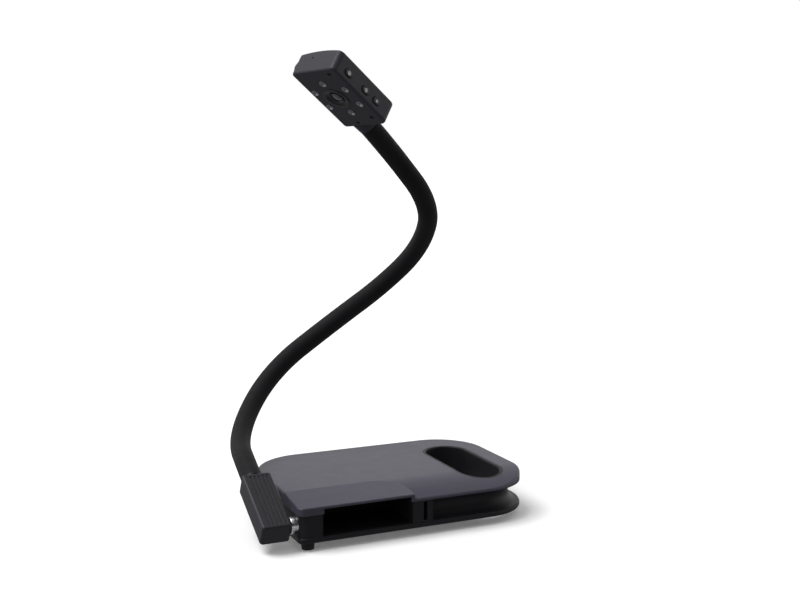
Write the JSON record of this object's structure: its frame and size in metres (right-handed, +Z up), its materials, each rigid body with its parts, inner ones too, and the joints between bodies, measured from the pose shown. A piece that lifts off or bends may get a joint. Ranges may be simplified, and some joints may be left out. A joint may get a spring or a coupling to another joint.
{
  "type": "document camera",
  "caption": "Desk document camera: a flat base with a head pocket and a handle opening, a hinged arm block, a bendable gooseneck and a lamp-ringed camera head.",
  "frame": {"origin": "middle of the base's footprint, on the desk under the rubber feet", "axes": "+X to the right end with the handle opening, +Y to the back, away from the head pocket's mouth, +Z up"},
  "size_m": [0.2635, 0.1946, 0.4194],
  "materials": {
    "cover_plastic": "graphite moulded plastic with a fine satin texture",
    "shell_plastic": "dark moulded plastic",
    "pocket_plastic": "black moulded plastic",
    "arm_plastic": "black textured plastic",
    "head_plastic": "dark grey satin plastic",
    "neck_rubber": "smooth matte black sleeve",
    "foot_rubber": "soft black rubber",
    "steel": "zinc plated steel",
    "black_steel": "blackened steel",
    "chrome": "polished plated ring",
    "brass": "turned brass",
    "circuit_board": "green lacquered glass-fibre board",
    "chip_black": "moulded black component bodies",
    "lens_glass": "coated lens glass",
    "lens_black": "gloss black lens housing",
    "lamp_clear": "white lamp dome",
    "lamp_cup": "bright metallised cup",
    "button_black": "smooth black key"
  },
  "bodies": {
    "base": {"base_bottom_plate": "shell_plastic", "rubber_feet": "foot_rubber", "bottom_screws": "steel", "base_side_shell": "shell_plastic", "base_top_cover": "cover_plastic", "head_pocket_liner": "pocket_plastic", "handle_sleeve": "shell_plastic", "ballast_plate": "steel", "main_circuit_board": "circuit_board", "board_chips": "chip_black", "board_posts": "brass", "board_screws": "steel", "usb_socket": "steel", "hinge_bracket": "steel", "hinge_collar": "chrome"},
    "arm": {"hinge_shaft": "steel", "friction_washer": "brass", "spring_washer": "steel", "hinge_nut": "steel", "arm_front_shell": "arm_plastic", "arm_back_shell": "arm_plastic", "arm_screws": "steel", "neck_ferrule": "black_steel"},
    "neck_1": {"neck_sleeve_1": "neck_rubber", "neck_core_1": "steel"},
    "neck_2": {"neck_sleeve_2": "neck_rubber", "neck_core_2": "steel"},
    "neck_3": {"neck_sleeve_3": "neck_rubber", "neck_core_3": "steel"},
    "neck_4": {"neck_sleeve_4": "neck_rubber", "neck_core_4": "steel"},
    "neck_5": {"neck_sleeve_5": "neck_rubber", "neck_core_5": "steel"},
    "neck_6": {"neck_sleeve_6": "neck_rubber", "neck_core_6": "steel"},
    "neck_7": {"neck_sleeve_7": "neck_rubber", "neck_core_7": "steel"},
    "neck_8": {"neck_sleeve_8": "neck_rubber", "neck_core_8": "steel", "head_turn_pin": "steel"},
    "head": {"head_front_cover": "head_plastic", "head_back_cover": "head_plastic", "head_screws": "black_steel", "neck_collar": "head_plastic", "lens_bezel": "lens_black", "lens_barrel": "lens_black", "lens_glass": "lens_glass", "image_sensor": "chip_black", "sensor_board": "circuit_board", "lamp_board": "circuit_board", "lamps": "lamp_clear", "lamp_cups": "lamp_cup", "button_board": "circuit_board", "button_switches": "chip_black", "microphone": "steel", "dial_holder": "head_plastic"},
    "far_button": {"far_button": "button_black"},
    "middle_button": {"middle_button": "button_black"},
    "near_button": {"near_button": "button_black"},
    "light_dial": {"light_dial": "button_black"}
  },
  "joints": [
    {"name": "arm_hinge", "type": "hinge", "parent": "base", "child": "arm", "pos_m": [-0.1356, -0.0657, 0.02064], "axis": [1, 0, 0], "range_deg": [-27, 63]},
    {"name": "neck_bend_1", "type": "hinge", "parent": "arm", "child": "neck_1", "pos_m": [-0.1356, -0.01179, 0.04811], "axis": [0, 0.454, -0.891], "range_deg": [-25, 25]},
    {"name": "neck_bend_2", "type": "hinge", "parent": "neck_1", "child": "neck_2", "pos_m": [-0.1325, 0.029, 0.0615], "axis": [-0.9896, 0.1438, 0], "range_deg": [-25, 25]},
    {"name": "neck_bend_3", "type": "hinge", "parent": "neck_2", "child": "neck_3", "pos_m": [-0.098, 0.094, 0.098], "axis": [-0.5188, -0.3808, 0.7654], "range_deg": [-25, 25]},
    {"name": "neck_bend_4", "type": "hinge", "parent": "neck_3", "child": "neck_4", "pos_m": [-0.0495, 0.1035, 0.1415], "axis": [-0.2263, -0.9741, 0], "range_deg": [-25, 25]},
    {"name": "neck_bend_5", "type": "hinge", "parent": "neck_4", "child": "neck_5", "pos_m": [0.0115, 0.0955, 0.185], "axis": [-0.5448, 0.0204, 0.8383], "range_deg": [-25, 25]},
    {"name": "neck_bend_6", "type": "hinge", "parent": "neck_5", "child": "neck_6", "pos_m": [0.048, 0.076, 0.2205], "axis": [-0.8428, -0.5382, 0], "range_deg": [-25, 25]},
    {"name": "neck_bend_7", "type": "hinge", "parent": "neck_6", "child": "neck_7", "pos_m": [0.054, 0.0285, 0.268], "axis": [0.2131, 0.6373, 0.7406], "range_deg": [-25, 25]},
    {"name": "neck_bend_8", "type": "hinge", "parent": "neck_7", "child": "neck_8", "pos_m": [0.031, 0.0115, 0.3075], "axis": [0.1211, 0.9926, 0], "range_deg": [-25, 25]},
    {"name": "head_turn", "type": "hinge", "parent": "neck_8", "child": "head", "pos_m": [-0.01673, 0.00433, 0.35773], "axis": [-0.7652, -0.2951, 0.5722], "range_deg": [-90, 90]},
    {"name": "far_button_press", "type": "slide", "parent": "head", "child": "far_button", "axis": [-0.3903, 0.9194, -0.0479], "range_m": [0, 0.0008], "stiffness_N_per_m": 900, "springref_m": -0.0008},
    {"name": "middle_button_press", "type": "slide", "parent": "head", "child": "middle_button", "axis": [-0.3903, 0.9194, -0.0479], "range_m": [0, 0.0008], "stiffness_N_per_m": 900, "springref_m": -0.0008},
    {"name": "near_button_press", "type": "slide", "parent": "head", "child": "near_button", "axis": [-0.3903, 0.9194, -0.0479], "range_m": [0, 0.0008], "stiffness_N_per_m": 900, "springref_m": -0.0008},
    {"name": "light_dial_spin", "type": "hinge", "parent": "head", "child": "light_dial", "pos_m": [-0.08426, -0.00919, 0.40638], "axis": [-0.7652, -0.2951, 0.5722], "range_deg": [-135, 135]}
  ]
}
